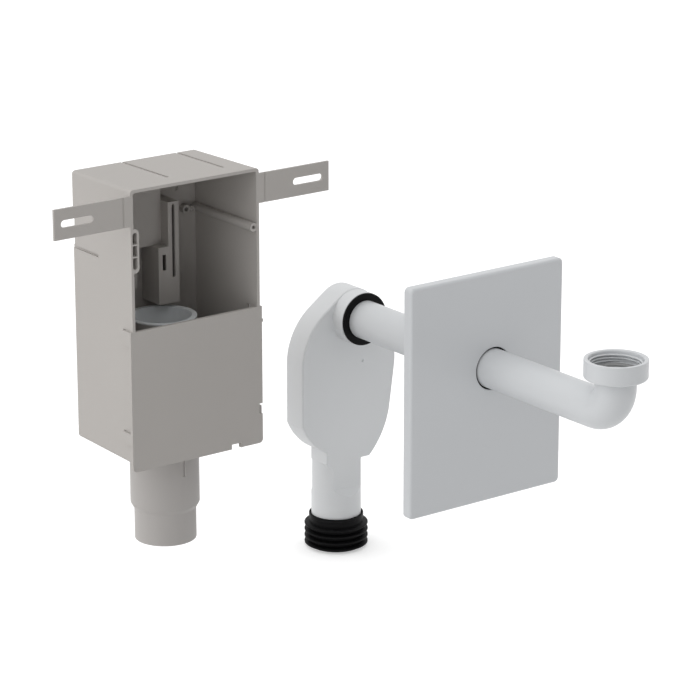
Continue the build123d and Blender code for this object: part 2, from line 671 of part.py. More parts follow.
# Rear shell of the trap: a deep tray with the outlet tube, the duct and the dip bell.
with BuildPart() as trap_rear_shell:
    with BuildSketch(facing(trap_joint_y)):
        add(trap_view.sketch)
    extrude(amount=-(trap_back_y - trap_joint_y))
    fillet(trap_rear_shell.faces().sort_by(Axis.Y)[-1].edges(), radius=TRAP_EDGE_ROUND)

    # Outlet tube: round at its end, and cut flat in front and behind where it meets the body.
    # A slant on its left leads from the body's width to the flat.
    with BuildSketch(Plane.XY.offset(OUTLET_BOTTOM_Z)):
        with Locations((OUTLET_X, OUTLET_Y)):
            Circle(outlet_r)
    extrude(amount=FACET_BOTTOM_Z - OUTLET_BOTTOM_Z)
    with BuildSketch(Plane.XY.offset(FACET_BOTTOM_Z)):
        with Locations((OUTLET_X, OUTLET_Y)):
            Circle(outlet_r)
        with Locations((OUTLET_X, TRAP_FRONT_Y)):
            Rectangle(
                OUTLET_DIAMETER,
                TRAP_DEPTH,
                align=(Align.CENTER, Align.MIN),
                mode=Mode.INTERSECT,
            )
    extrude(amount=NECK_RIGHT_Z - FACET_BOTTOM_Z)
    with BuildSketch(facing(TRAP_FRONT_Y)):
        with BuildLine():
            Polyline(
                (neck_left_x, NECK_RIGHT_Z),
                (OUTLET_X, NECK_RIGHT_Z),
                (OUTLET_X, NECK_RIGHT_Z - NECK_CUT),
                (facet_left_x, NECK_RIGHT_Z - NECK_CUT),
                close=True,
            )
        make_face()
    extrude(amount=TRAP_FRONT_Y - OUTLET_Y)

    # Hollow of the tray, and the walls that stand in it.
    with BuildSketch(facing(trap_joint_y)):
        add(trap_view.sketch)
        offset(amount=-TRAP_WALL, kind=Kind.INTERSECTION, mode=Mode.REPLACE)
    extrude(amount=-(cavity_back_y - trap_joint_y), mode=Mode.SUBTRACT)
    with BuildSketch(facing(trap_joint_y)):
        add(bell_view.sketch)
        for side in (-1, 1):
            with Locations((OUTLET_X + side * (DUCT_WIDTH + DUCT_WALL) / 2, NECK_RIGHT_Z)):
                Rectangle(DUCT_WALL, WEIR_Z - NECK_RIGHT_Z, align=(Align.CENTER, Align.MIN))
    extrude(amount=-(cavity_back_y - trap_joint_y + TRAP_WALL / 2))

    # Bore of the tube, which follows its flats and opens into the duct.
    with BuildSketch(Plane.XY.offset(OUTLET_BOTTOM_Z)):
        with Locations((OUTLET_X, OUTLET_Y)):
            Circle(outlet_bore_r)
    extrude(amount=FACET_BOTTOM_Z - OUTLET_WALL - OUTLET_BOTTOM_Z, mode=Mode.SUBTRACT)
    with BuildSketch(Plane.XY.offset(FACET_BOTTOM_Z - OUTLET_WALL)):
        with Locations((OUTLET_X, OUTLET_Y)):
            Circle(outlet_bore_r)
        with Locations((OUTLET_X, TRAP_FRONT_Y + OUTLET_WALL)):
            Rectangle(
                OUTLET_DIAMETER,
                TRAP_DEPTH - OUTLET_WALL - TRAP_WALL,
                align=(Align.CENTER, Align.MIN),
                mode=Mode.INTERSECT,
            )
    extrude(amount=NECK_RIGHT_Z - FACET_BOTTOM_Z, mode=Mode.SUBTRACT)
    with BuildSketch(Plane.XY.offset(NECK_RIGHT_Z - OUTLET_WALL)):
        with Locations((OUTLET_X, trap_joint_y)):
            Rectangle(
                DUCT_WIDTH, cavity_back_y - trap_joint_y, align=(Align.CENTER, Align.MIN)
            )
    extrude(amount=OUTLET_WALL + TRAP_WALL, mode=Mode.SUBTRACT)
keep(trap_rear_shell, "trap_rear_shell")

# Front shell: the flat lid with the inlet collar and the seat for its seal.
with BuildPart() as trap_front_shell:
    with BuildSketch(facing(trap_joint_y)):
        add(trap_view.sketch)
    extrude(amount=TRAP_LID)
    rim_edges = trap_front_shell.faces().sort_by(Axis.Y)[0].edges().sort_by(Axis.Z)
    fillet(rim_edges[1:], radius=TRAP_EDGE_ROUND)
    with BuildSketch(facing(trap_joint_y)):
        with Locations(inlet_centre):
            Circle(COLLAR_DIAMETER / 2)
    extrude(amount=TRAP_LID + COLLAR_LENGTH)
    with BuildSketch(facing(trap_joint_y)):
        with Locations(inlet_centre):
            Circle(pipe_r + COLLAR_CLEARANCE)
    extrude(amount=TRAP_LID + COLLAR_LENGTH, mode=Mode.SUBTRACT)
    with BuildSketch(facing(collar_front_y)):
        with Locations(inlet_centre):
            Circle(SEAL_SEAT_DIAMETER / 2)
    extrude(amount=-SEAL_SEAT_DEPTH, mode=Mode.SUBTRACT)
    with BuildSketch(facing(TRAP_FRONT_Y)):
        with Locations((DIMPLE_X, DIMPLE_Z)):
            Circle(DIMPLE_DIAMETER / 2)
    extrude(amount=-DIMPLE_DEPTH, mode=Mode.SUBTRACT)
keep(trap_front_shell, "trap_front_shell")

# Inlet seal: a rubber ring in the collar, with a lip over the collar's end.
seal_r = SEAL_SEAT_DIAMETER / 2 - SEAL_CLEARANCE
seal_bore_r = pipe_r + SEAL_CLEARANCE
seal_front_y = collar_front_y - SEAL_CLEARANCE - SEAL_LIP_THICKNESS
seal_rear_y = collar_front_y + SEAL_SEAT_DEPTH - SEAL_CLEARANCE
with BuildPart() as inlet_seal:
    with BuildSketch(Plane.XY.offset(INLET_Z)):
        with BuildLine():
            Polyline(
                (INLET_X + seal_bore_r, seal_front_y),
                (INLET_X + SEAL_LIP_DIAMETER / 2, seal_front_y),
                (INLET_X + SEAL_LIP_DIAMETER / 2, seal_front_y + SEAL_LIP_THICKNESS),
                (INLET_X + seal_r, seal_front_y + SEAL_LIP_THICKNESS),
                (INLET_X + seal_r, seal_rear_y),
                (INLET_X + seal_r - SEAL_WALL, seal_rear_y),
                (INLET_X + seal_r - SEAL_WALL, collar_front_y + SEAL_LIP_THICKNESS),
                (INLET_X + seal_bore_r, collar_front_y + SEAL_LIP_THICKNESS),
                close=True,
            )
        make_face()
    revolve(axis=Axis((INLET_X, 0, INLET_Z), (0, 1, 0)))
keep(inlet_seal, "inlet_seal")

# Outlet seal: a rubber sleeve on the tube's end with a lip above and four ribs.
outlet_seal_r = OUTLET_SEAL_DIAMETER / 2
outlet_seal_bottom_z = OUTLET_BOTTOM_Z - OUTLET_SEAL_FOOT
with BuildPart() as outlet_seal:
    with BuildSketch(facing(OUTLET_Y)):
        with BuildLine():
            Polyline(
                (OUTLET_X + outlet_r, OUTLET_SEAL_TOP_Z),
                (OUTLET_X + OUTLET_SEAL_LIP / 2, OUTLET_SEAL_TOP_Z),
                (OUTLET_X + outlet_seal_r, OUTLET_SEAL_TOP_Z - OUTLET_SEAL_FOOT),
                (OUTLET_X + outlet_seal_r, outlet_seal_bottom_z),
                (OUTLET_X + outlet_bore_r, outlet_seal_bottom_z),
                (OUTLET_X + outlet_bore_r, OUTLET_BOTTOM_Z),
                (OUTLET_X + outlet_r, OUTLET_BOTTOM_Z),
                close=True,
            )
        make_face()
        for rib in range(OUTLET_RIB_COUNT):
            rib_z = OUTLET_SEAL_TOP_Z - OUTLET_RIB_BELOW_LIP - rib * OUTLET_RIB_PITCH
            with BuildLine():
                Polyline(
                    (OUTLET_X + outlet_r, rib_z + OUTLET_RIB_ROOT),
                    (OUTLET_X + OUTLET_RIB_DIAMETER / 2, rib_z + OUTLET_RIB_EDGE / 2),
                    (OUTLET_X + OUTLET_RIB_DIAMETER / 2, rib_z - OUTLET_RIB_EDGE / 2),
                    (OUTLET_X + outlet_r, rib_z - OUTLET_RIB_ROOT),
                    close=True,
                )
            make_face()
    revolve(axis=Axis((OUTLET_X, OUTLET_Y, 0), (0, 0, 1)))
keep(outlet_seal, "outlet_seal")

# Connection bend: a pipe with a right-angled bend and a flange that carries the union nut.
with BuildPart() as connection_bend:
    with BuildSketch(facing(pipe_rear_y)):
        with Locations(inlet_centre):
            Circle(pipe_r)
            Circle(pipe_bore_r, mode=Mode.SUBTRACT)
    extrude(amount=pipe_rear_y - bend_centre_y)
    outer_end = connection_bend.edges().filter_by(GeomType.CIRCLE).group_by(Axis.Y)[-1]
    chamfer(outer_end.sort_by(SortBy.RADIUS)[-1], length=PIPE_END_CHAMFER)
    with BuildSketch(facing(bend_centre_y)):
        with Locations(inlet_centre):
            Circle(pipe_r)
            Circle(pipe_bore_r, mode=Mode.SUBTRACT)
    revolve(
        axis=Axis((INLET_X, bend_centre_y, bend_centre_z), (-1, 0, 0)), revolution_arc=90
    )
    with BuildSketch(Plane.XY.offset(bend_centre_z)):
        with Locations((INLET_X, bend_mouth_y)):
            Circle(pipe_r)
            Circle(pipe_bore_r, mode=Mode.SUBTRACT)
    extrude(amount=flange_top_z - bend_centre_z)
    with BuildSketch(Plane.XY.offset(flange_bottom_z)):
        with Locations((INLET_X, bend_mouth_y)):
            Circle(BEND_FLANGE_DIAMETER / 2)
            Circle(pipe_bore_r, mode=Mode.SUBTRACT)
    extrude(amount=BEND_FLANGE_THICKNESS)
keep(connection_bend, "connection_bend")

# Union nut: round, with a shoulder under the flange, a relief round the flange and the
# thread's bore above it.
nut_r = NUT_DIAMETER / 2
nut_bore_r = NUT_BORE / 2
nut_neck_r = pipe_r + NUT_NECK_CLEARANCE
nut_relief_r = NUT_RELIEF_DIAMETER / 2
thread_foot_z = nut_top_z - NUT_MOUTH_CHAMFER - NUT_THREAD_LENGTH
with BuildPart() as union_nut:
    with BuildSketch(facing(bend_mouth_y)):
        with BuildLine():
            Polyline(
                (INLET_X + nut_neck_r, nut_bottom_z),
                (INLET_X + nut_r - NUT_FOOT_CHAMFER, nut_bottom_z),
                (INLET_X + nut_r, nut_bottom_z + NUT_FOOT_CHAMFER),
                (INLET_X + nut_r, nut_top_z),
                (INLET_X + nut_bore_r + NUT_MOUTH_CHAMFER, nut_top_z),
                (INLET_X + nut_bore_r, nut_top_z - NUT_MOUTH_CHAMFER),
                (INLET_X + nut_bore_r, thread_foot_z),
                (INLET_X + nut_relief_r, thread_foot_z - NUT_MOUTH_CHAMFER),
                (INLET_X + nut_relief_r, nut_bottom_z + NUT_FLOOR),
                (INLET_X + nut_neck_r, nut_bottom_z + NUT_FLOOR),
                close=True,
            )
        make_face()
    revolve(axis=Axis((INLET_X, bend_mouth_y, 0), (0, 0, 1)))
keep(union_nut, "union_nut")

# Flat gasket on the bend's flange, under the basin's waste.
with BuildPart() as nut_gasket:
    with BuildSketch(Plane.XY.offset(flange_top_z)):
        with Locations((INLET_X, bend_mouth_y)):
            Circle(BEND_FLANGE_DIAMETER / 2)
            Circle(GASKET_BORE / 2, mode=Mode.SUBTRACT)
    extrude(amount=GASKET_THICKNESS)
keep(nut_gasket, "nut_gasket")

# Cover plate: a shallow tray, open behind, with a hub round the hole for the pipe.
hole_r = PLATE_HOLE_DIAMETER / 2
with BuildPart() as cover_plate:
    with BuildSketch(facing(plate_back_y)):
        with Locations((plate_x, plate_z)):
            RectangleRounded(PLATE_WIDTH, PLATE_HEIGHT, PLATE_CORNER)
    extrude(amount=PLATE_DEPTH)
    fillet(cover_plate.faces().sort_by(Axis.Y)[0].edges(), radius=PLATE_EDGE_ROUND)
    with BuildSketch(facing(plate_back_y)):
        with Locations((plate_x, plate_z)):
            RectangleRounded(
                PLATE_WIDTH - 2 * PLATE_RIM, PLATE_HEIGHT - 2 * PLATE_RIM, PLATE_CORNER - PLATE_RIM
            )
    extrude(amount=PLATE_DEPTH - PLATE_FACE, mode=Mode.SUBTRACT)
    with BuildSketch(facing(plate_back_y)):
        with Locations(inlet_centre):
            Circle(hole_r + PLATE_HUB)
    extrude(amount=PLATE_DEPTH - PLATE_FACE / 2)
    with BuildSketch(facing(plate_back_y)):
        with Locations(inlet_centre):
            Circle(hole_r)
    extrude(amount=PLATE_DEPTH, mode=Mode.SUBTRACT)
keep(cover_plate, "cover_plate")

# Plate ring: a thin rubber lining of the plate's hole that grips the pipe.
with BuildPart() as plate_ring:
    with BuildSketch(facing(plate_back_y)):
        with Locations(inlet_centre):
            Circle(hole_r)
            Circle(pipe_r + PLATE_RING_CLEARANCE, mode=Mode.SUBTRACT)
    extrude(amount=PLATE_DEPTH - PLATE_FACE / 2)
keep(plate_ring, "plate_ring")
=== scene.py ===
from math import hypot, radians

import bmesh
import bpy
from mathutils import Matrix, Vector


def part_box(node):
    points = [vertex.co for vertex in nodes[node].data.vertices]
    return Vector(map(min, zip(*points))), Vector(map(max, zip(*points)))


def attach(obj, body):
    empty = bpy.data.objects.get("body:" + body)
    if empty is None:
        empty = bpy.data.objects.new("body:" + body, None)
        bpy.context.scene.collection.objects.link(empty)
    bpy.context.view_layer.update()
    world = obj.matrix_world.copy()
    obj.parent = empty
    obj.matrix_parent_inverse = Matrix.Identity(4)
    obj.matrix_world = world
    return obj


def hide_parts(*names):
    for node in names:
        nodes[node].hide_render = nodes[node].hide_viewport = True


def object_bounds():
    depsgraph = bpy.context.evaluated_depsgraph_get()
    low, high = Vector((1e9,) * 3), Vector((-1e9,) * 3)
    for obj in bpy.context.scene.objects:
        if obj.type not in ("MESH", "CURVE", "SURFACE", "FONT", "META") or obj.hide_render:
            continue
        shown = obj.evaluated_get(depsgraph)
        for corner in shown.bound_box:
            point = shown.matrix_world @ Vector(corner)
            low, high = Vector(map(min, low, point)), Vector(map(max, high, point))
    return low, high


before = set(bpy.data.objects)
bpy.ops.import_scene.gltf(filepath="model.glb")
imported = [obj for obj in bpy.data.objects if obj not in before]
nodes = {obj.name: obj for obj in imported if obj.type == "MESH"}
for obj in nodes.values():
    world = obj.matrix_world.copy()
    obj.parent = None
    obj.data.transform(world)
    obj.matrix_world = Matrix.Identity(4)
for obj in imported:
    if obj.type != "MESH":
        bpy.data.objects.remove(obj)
cad_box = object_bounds()

# Wall box: one injection moulding in warm grey polypropylene, with its fixing ears, stepped
# rear wall, screw bosses and slotted lug. It is let into the wall and screwed on by the ears.
BOX_GREY = (0.455, 0.433, 0.412, 1.0)
BOX_ROUGHNESS = 0.55
BOX_SHINE = 0.15
BOX_EDGE_ROUND = 0.0005
WELD = 0.00001
FLAT_ANGLE = radians(0.6)
SHARP_ANGLE = radians(32)
EDGE_STEPS = 2
FLAT_WEIGHT = 80
SEAM_SLACK = 0.00015


def link(piece):
    """Puts a new object into the scene."""
    bpy.context.scene.collection.objects.link(piece)
    return piece


def plain_mesh(piece):
    """Turns what a piece's modifiers make into its own mesh, and removes them."""
    bpy.context.view_layer.update()
    evaluated = piece.evaluated_get(bpy.context.evaluated_depsgraph_get())
    mesh = bpy.data.meshes.new_from_object(evaluated)
    piece.modifiers.clear()
    piece.data = mesh
    mesh.name = piece.name


def soften(piece, edge_round):
    """Rounds the edges that carry a bevel weight, and keeps flat faces looking flat."""
    bevel = piece.modifiers.new("rounded edges", "BEVEL")
    bevel.limit_method = "WEIGHT"
    bevel.width = edge_round
    bevel.segments = EDGE_STEPS
    bevel.use_clamp_overlap = True
    flats = piece.modifiers.new("flat faces", "WEIGHTED_NORMAL")
    flats.keep_sharp = True
    flats.weight = FLAT_WEIGHT
    plain_mesh(piece)


def moulded_copy(node, name, edge_round, edge_share=None, reshape=None):
    """A copy of a CAD node with its sharp edges rounded, as every moulded edge is.

    edge_share gives how much of the rounding an edge takes, and reshape moves the
    merged mesh before its edges are rounded.
    """
    work = bmesh.new()
    work.from_mesh(nodes[node].data)
    bmesh.ops.remove_doubles(work, verts=work.verts, dist=WELD)
    bmesh.ops.dissolve_limit(
        work, angle_limit=FLAT_ANGLE, verts=work.verts, edges=work.edges
    )
    if reshape:
        reshape(work)
    rounding = work.edges.layers.float.new("bevel_weight_edge")
    for edge in work.edges:
        if edge.is_manifold and edge.calc_face_angle(0.0) > SHARP_ANGLE:
            edge[rounding] = edge_share(edge) if edge_share else 1.0
            edge.smooth = edge[rounding] > 0.0
    mesh = bpy.data.meshes.new(name)
    work.to_mesh(mesh)
    work.free()
    if "custom_normal" in mesh.attributes:
        mesh.attributes.remove(mesh.attributes["custom_normal"])
    mesh.shade_smooth()
    piece = link(bpy.data.objects.new(name, mesh))
    soften(piece, edge_round)
    return piece


def new_tree(name, kind, inputs, outputs):
    """A node tree with named sockets, and its two end nodes."""
    tree = bpy.data.node_groups.new(name, kind)
    for label, socket_type, value in inputs:
        socket = tree.interface.new_socket(label, in_out="INPUT", socket_type=socket_type)
        if value is not None:
            socket.default_value = value
    for label, socket_type in outputs:
        tree.interface.new_socket(label, in_out="OUTPUT", socket_type=socket_type)
    return tree, tree.nodes.new("NodeGroupInput"), tree.nodes.new("NodeGroupOutput")


def feed(tree, source, target):
    """Links an output to an input, or sets the input where the source is a plain value."""
    if isinstance(source, bpy.types.NodeSocket):
        tree.links.new(source, target)
    else:
        target.default_value = source


def maths(tree, operation, *terms):
    """A maths node on up to three terms, each a socket or a number."""
    node = tree.nodes.new("ShaderNodeMath")
    node.operation = operation
    for place, term in enumerate(terms):
        feed(tree, term, node.inputs[place])
    return node.outputs[0]


def noise(tree, vector, scale, detail):
    """Noise on the given coordinates."""
    node = tree.nodes.new("ShaderNodeTexNoise")
    feed(tree, vector, node.inputs["Vector"])
    feed(tree, scale, node.inputs["Scale"])
    node.inputs["Detail"].default_value = detail
    return node.outputs["Fac"]


def scaled_colour(tree, colour, factor):
    """A colour made lighter or darker by a factor."""
    node = tree.nodes.new("ShaderNodeVectorMath")
    node.operation = "SCALE"
    feed(tree, colour, node.inputs[0])
    feed(tree, factor, node.inputs["Scale"])
    return node.outputs["Vector"]


def bumped(tree, height, strength, distance):
    """A normal bent by a height."""
    node = tree.nodes.new("ShaderNodeBump")
    feed(tree, height, node.inputs["Height"])
    feed(tree, strength, node.inputs["Strength"])
    node.inputs["Distance"].default_value = distance
    return node.outputs["Normal"]


# Spark-eroded mould grain, with the slow change of tone and gloss that a cooling melt leaves.
CLOUD_SCALE = 9.0
CLOUD_DETAIL = 2.0
CLOUD_MIDDLE = 0.5
GRAIN_SCALE = 2600.0
GRAIN_DETAIL = 1.0
GRAIN_HEIGHT = 0.0001
mould_grain, grain_in, grain_out = new_tree(
    "mould_grain",
    "ShaderNodeTree",
    [
        ("Place", "NodeSocketVector", None),
        ("Tone", "NodeSocketColor", None),
        ("Tone Change", "NodeSocketFloat", 0.03),
        ("Gloss", "NodeSocketFloat", 0.5),
        ("Gloss Change", "NodeSocketFloat", 0.05),
        ("Grain Depth", "NodeSocketFloat", 0.1),
    ],
    [
        ("Colour", "NodeSocketColor"),
        ("Roughness", "NodeSocketFloat"),
        ("Normal", "NodeSocketVector"),
    ],
)
cloud = maths(
    mould_grain,
    "SUBTRACT",
    noise(mould_grain, grain_in.outputs["Place"], CLOUD_SCALE, CLOUD_DETAIL),
    CLOUD_MIDDLE,
)
melt_tone = maths(mould_grain, "MULTIPLY_ADD", cloud, grain_in.outputs["Tone Change"], 1.0)
melt_gloss = maths(
    mould_grain,
    "MULTIPLY_ADD",
    cloud,
    grain_in.outputs["Gloss Change"],
    grain_in.outputs["Gloss"],
)
grain = noise(mould_grain, grain_in.outputs["Place"], GRAIN_SCALE, GRAIN_DETAIL)
feed(
    mould_grain,
    scaled_colour(mould_grain, grain_in.outputs["Tone"], melt_tone),
    grain_out.inputs["Colour"],
)
feed(mould_grain, melt_gloss, grain_out.inputs["Roughness"])
feed(
    mould_grain,
    bumped(mould_grain, grain, grain_in.outputs["Grain Depth"], GRAIN_HEIGHT),
    grain_out.inputs["Normal"],
)


def surfaced(name, skin, shine, **settings):
    """A material that wears the given skin on Object coordinates.

    settings fill the skin's inputs, underscores standing for the spaces in their names.
    """
    material = bpy.data.materials.new(name)
    material.use_nodes = True
    tree = material.node_tree
    shader = tree.nodes["Principled BSDF"]
    shader.inputs["Specular IOR Level"].default_value = shine
    surface = tree.nodes.new("ShaderNodeGroup")
    surface.node_tree = skin
    for label, value in settings.items():
        feed(tree, value, surface.inputs[label.replace("_", " ")])
    place = tree.nodes.new("ShaderNodeTexCoord")
    feed(tree, place.outputs["Object"], surface.inputs["Place"])
    feed(tree, surface.outputs["Colour"], shader.inputs["Base Color"])
    feed(tree, surface.outputs["Roughness"], shader.inputs["Roughness"])
    feed(tree, surface.outputs["Normal"], shader.inputs["Normal"])
    return material


def fit_out(piece, material, body, slot, *stands_for):
    """Gives a finished piece its material and body, and hides the CAD nodes it stands for. The
    slot is not used.
    """
    piece.data.materials.clear()
    piece.data.materials.append(material)
    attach(piece, body)
    if stands_for:
        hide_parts(*stands_for)


FOLD_X = 0.066
FOLD_HALF = 0.0008
FOLD_FLOOR_Y = -0.0489
FOLD_FOOT_SHIFT = -0.0013
FOLD_BROW_SHIFT = 0.0009


def slant_folds(work):
    """Slants the right flank of each ear's film hinge, as its blade leaves it."""
    for corner in work.verts:
        for fold_x in (-FOLD_X, FOLD_X):
            if abs(corner.co.x - fold_x - FOLD_HALF) < SEAM_SLACK:
                on_floor = abs(corner.co.y - FOLD_FLOOR_Y) < SEAM_SLACK
                corner.co.x += FOLD_FOOT_SHIFT if on_floor else FOLD_BROW_SHIFT


TOP_GROOVES_X = (-0.0125, 0.0395)
TOP_GROOVE_FLOOR_Z = 0.304
SIDE_GROOVE_Z = 0.24575
SIDE_GROOVE_FLOOR_X = -0.055
GROOVE_HALF = 0.00125
GROOVE_SHARE = 0.25


def on_walls(ends, axis, middle):
    """Whether an edge lies on a groove's walls, which stand to both sides of its middle."""
    return all(abs(abs(end[axis] - middle) - GROOVE_HALF) < SEAM_SLACK for end in ends)


def box_edge_share(edge):
    """Rounds the box's edges in full, and those of its three outer grooves little."""
    ends = [corner.co for corner in edge.verts]
    on_top = all(end.z > TOP_GROOVE_FLOOR_Z for end in ends)
    on_side = all(end.x < SIDE_GROOVE_FLOOR_X for end in ends)
    if on_top and any(on_walls(ends, 0, groove_x) for groove_x in TOP_GROOVES_X):
        return GROOVE_SHARE
    if on_side and on_walls(ends, 2, SIDE_GROOVE_Z):
        return GROOVE_SHARE
    return 1.0


box_plastic = surfaced(
    "box_polypropylene",
    mould_grain,
    BOX_SHINE,
    Tone=BOX_GREY,
    Tone_Change=0.05,
    Gloss=BOX_ROUGHNESS,
    Gloss_Change=0.10,
    Grain_Depth=0.25,
)
wall_box = moulded_copy("wall_box", "box_moulding", BOX_EDGE_ROUND, box_edge_share, slant_folds)
fit_out(wall_box, box_plastic, "set", "box_plastic", "wall_box")

# Teeth of the stub beside the rear boss: small rings moulded on the rod that joins the boss
# to the side wall, where a tie is hooked in. They are one moulding with the box.
TOOTH_COUNT = 3
TOOTH_PITCH = 0.0026
TOOTH_RADIUS = 0.0027
TOOTH_WIDTH = 0.0013
TOOTH_CREST_SHARE = 0.6
TOOTH_ROUNDING_SHARE = 0.2
TOOTH_STEPS = 24
ROD_RADIUS = 0.0014
FIRST_TOOTH = (0.0484, 0.0295, 0.2605)
CORNER_STEPS = 3


def geometry_tree(name, inputs):
    """A geometry tree with named sizes, and its two end nodes."""
    sizes = [(label, kind, None) for label, kind in inputs]
    return new_tree(name, "GeometryNodeTree", sizes, [("Geometry", "NodeSocketGeometry")])


def made_of(tree, kind, **settings):
    """A geometry node with its inputs fed, underscores standing for the spaces in names."""
    node = tree.nodes.new(kind)
    for label, value in settings.items():
        feed(tree, value, node.inputs[label.replace("_", " ")])
    return node


def swept_ring(tree, radius, profile, steps):
    """A ring of the given profile about the Z axis."""
    path = made_of(tree, "GeometryNodeCurvePrimitiveCircle", Radius=radius, Resolution=steps)
    ring = made_of(
        tree, "GeometryNodeCurveToMesh", Curve=path.outputs[0], Profile_Curve=profile
    )
    return ring.outputs[0]


def rounded(tree, outline, rounding):
    """A closed outline with its corners rounded."""
    round_off = tree.nodes.new("GeometryNodeFilletCurve")
    round_off.mode = "POLY"
    feed(tree, outline, round_off.inputs["Curve"])
    feed(tree, rounding, round_off.inputs["Radius"])
    round_off.inputs["Count"].default_value = CORNER_STEPS
    round_off.inputs["Limit Radius"].default_value = True
    return round_off.outputs[0]


def along(tree, axis, amount):
    """A vector along one axis."""
    vector = tree.nodes.new("ShaderNodeCombineXYZ")
    feed(tree, amount, vector.inputs[axis])
    return vector.outputs[0]


def ridge_profile(tree, height, root, crest, rounding, inward):
    """A ridge that stands up from its root along the profile's X axis, corners rounded."""
    shape = tree.nodes.new("GeometryNodeCurvePrimitiveQuadrilateral")
    shape.mode = "TRAPEZOID"
    feed(tree, height, shape.inputs["Height"])
    feed(tree, root, shape.inputs["Bottom Width"])
    feed(tree, crest, shape.inputs["Top Width"])
    shape.inputs["Offset"].default_value = 0.0
    side = -1.0 if inward else 1.0
    laid = made_of(
        tree,
        "GeometryNodeTransform",
        Geometry=rounded(tree, shape.outputs[0], rounding),
        Translation=along(tree, "X", maths(tree, "MULTIPLY", height, 0.5 * side)),
    )
    laid.inputs["Rotation"].default_value = (0.0, 0.0, radians(-90 * side))
    return laid.outputs[0]


def end_tree(tree, end, geometry, material):
    """Makes what instances stand for real, gives it its material and ends the tree."""
    real = made_of(tree, "GeometryNodeRealizeInstances", Geometry=geometry)
    smooth = made_of(tree, "GeometryNodeSetShadeSmooth", Geometry=real.outputs[0])
    dressed = made_of(
        tree, "GeometryNodeSetMaterial", Geometry=smooth.outputs[0], Material=material
    )
    feed(tree, dressed.outputs[0], end.inputs["Geometry"])


def grown(name, tree, sizes):
    """A piece made by a geometry tree with the given sizes, as a plain mesh."""
    piece = link(bpy.data.objects.new(name, bpy.data.meshes.new(name)))
    maker = piece.modifiers.new(name, "NODES")
    maker.node_group = tree
    for socket in tree.interface.items_tree:
        if socket.item_type == "SOCKET" and socket.in_out == "INPUT":
            maker[socket.identifier] = sizes[socket.name]
    plain_mesh(piece)
    piece.data.set_sharp_from_angle(angle=SHARP_ANGLE)
    return piece


teeth_tree, teeth_in, teeth_out = geometry_tree(
    "stub_teeth",
    [
        ("First Tooth", "NodeSocketVector"),
        ("Count", "NodeSocketInt"),
        ("Pitch", "NodeSocketFloat"),
        ("Rod Radius", "NodeSocketFloat"),
        ("Tooth Radius", "NodeSocketFloat"),
        ("Tooth Width", "NodeSocketFloat"),
        ("Material", "NodeSocketMaterial"),
    ],
)
tooth_height = maths(
    teeth_tree, "SUBTRACT", teeth_in.outputs["Tooth Radius"], teeth_in.outputs["Rod Radius"]
)
tooth_width = teeth_in.outputs["Tooth Width"]
tooth_profile = ridge_profile(
    teeth_tree,
    tooth_height,
    tooth_width,
    maths(teeth_tree, "MULTIPLY", tooth_width, TOOTH_CREST_SHARE),
    maths(teeth_tree, "MULTIPLY", tooth_width, TOOTH_ROUNDING_SHARE),
    False,
)
tooth = swept_ring(teeth_tree, teeth_in.outputs["Rod Radius"], tooth_profile, TOOTH_STEPS)
tooth_line = made_of(
    teeth_tree,
    "GeometryNodeMeshLine",
    Count=teeth_in.outputs["Count"],
    Start_Location=teeth_in.outputs["First Tooth"],
    Offset=along(teeth_tree, "X", teeth_in.outputs["Pitch"]),
)
teeth_placed = made_of(
    teeth_tree, "GeometryNodeInstanceOnPoints", Points=tooth_line.outputs[0], Instance=tooth
)
teeth_placed.inputs["Rotation"].default_value = (0.0, radians(90), 0.0)
end_tree(teeth_tree, teeth_out, teeth_placed.outputs[0], teeth_in.outputs["Material"])

stub_teeth = grown(
    "stub_teeth",
    teeth_tree,
    {
        "First Tooth": FIRST_TOOTH,
        "Count": TOOTH_COUNT,
        "Pitch": TOOTH_PITCH,
        "Rod Radius": ROD_RADIUS,
        "Tooth Radius": TOOTH_RADIUS,
        "Tooth Width": TOOTH_WIDTH,
        "Material": box_plastic,
    },
)
fit_out(stub_teeth, box_plastic, "set", "box_plastic")

# Trap holder: a hollow guide of the same polypropylene, fixed to the box's rear wall. It takes
# the trap body's long guide and its latch.
HOLDER_EDGE_ROUND = 0.0004
holder = moulded_copy("trap_holder", "holder_guide", HOLDER_EDGE_ROUND)
fit_out(holder, box_plastic, "set", "box_plastic", "trap_holder")

# Lower cover: a flat polypropylene panel that closes the front of the box over the drain. It
# snaps on with two clips on each side.
COVER_EDGE_ROUND = 0.0005
lower_cover = moulded_copy("lower_cover", "cover_panel", COVER_EDGE_ROUND)
fit_out(lower_cover, box_plastic, "set", "box_plastic", "lower_cover")

# Drain connector: a polypropylene tube, spigot below and socket above, that goes through the
# box's floor and stands on it by a flange. It is a little glossier than the box.
DRAIN_GREY = (0.440, 0.420, 0.405, 1.0)
DRAIN_ROUGHNESS = 0.46
DRAIN_SHINE = 0.25
DRAIN_EDGE_ROUND = 0.0006
drain_plastic = surfaced(
    "drain_polypropylene",
    mould_grain,
    DRAIN_SHINE,
    Tone=DRAIN_GREY,
    Tone_Change=0.05,
    Gloss=DRAIN_ROUGHNESS,
    Gloss_Change=0.08,
    Grain_Depth=0.12,
)
drain = moulded_copy("drain_connector", "drain_tube", DRAIN_EDGE_ROUND)
fit_out(drain, drain_plastic, "set", "drain_plastic", "drain_connector")

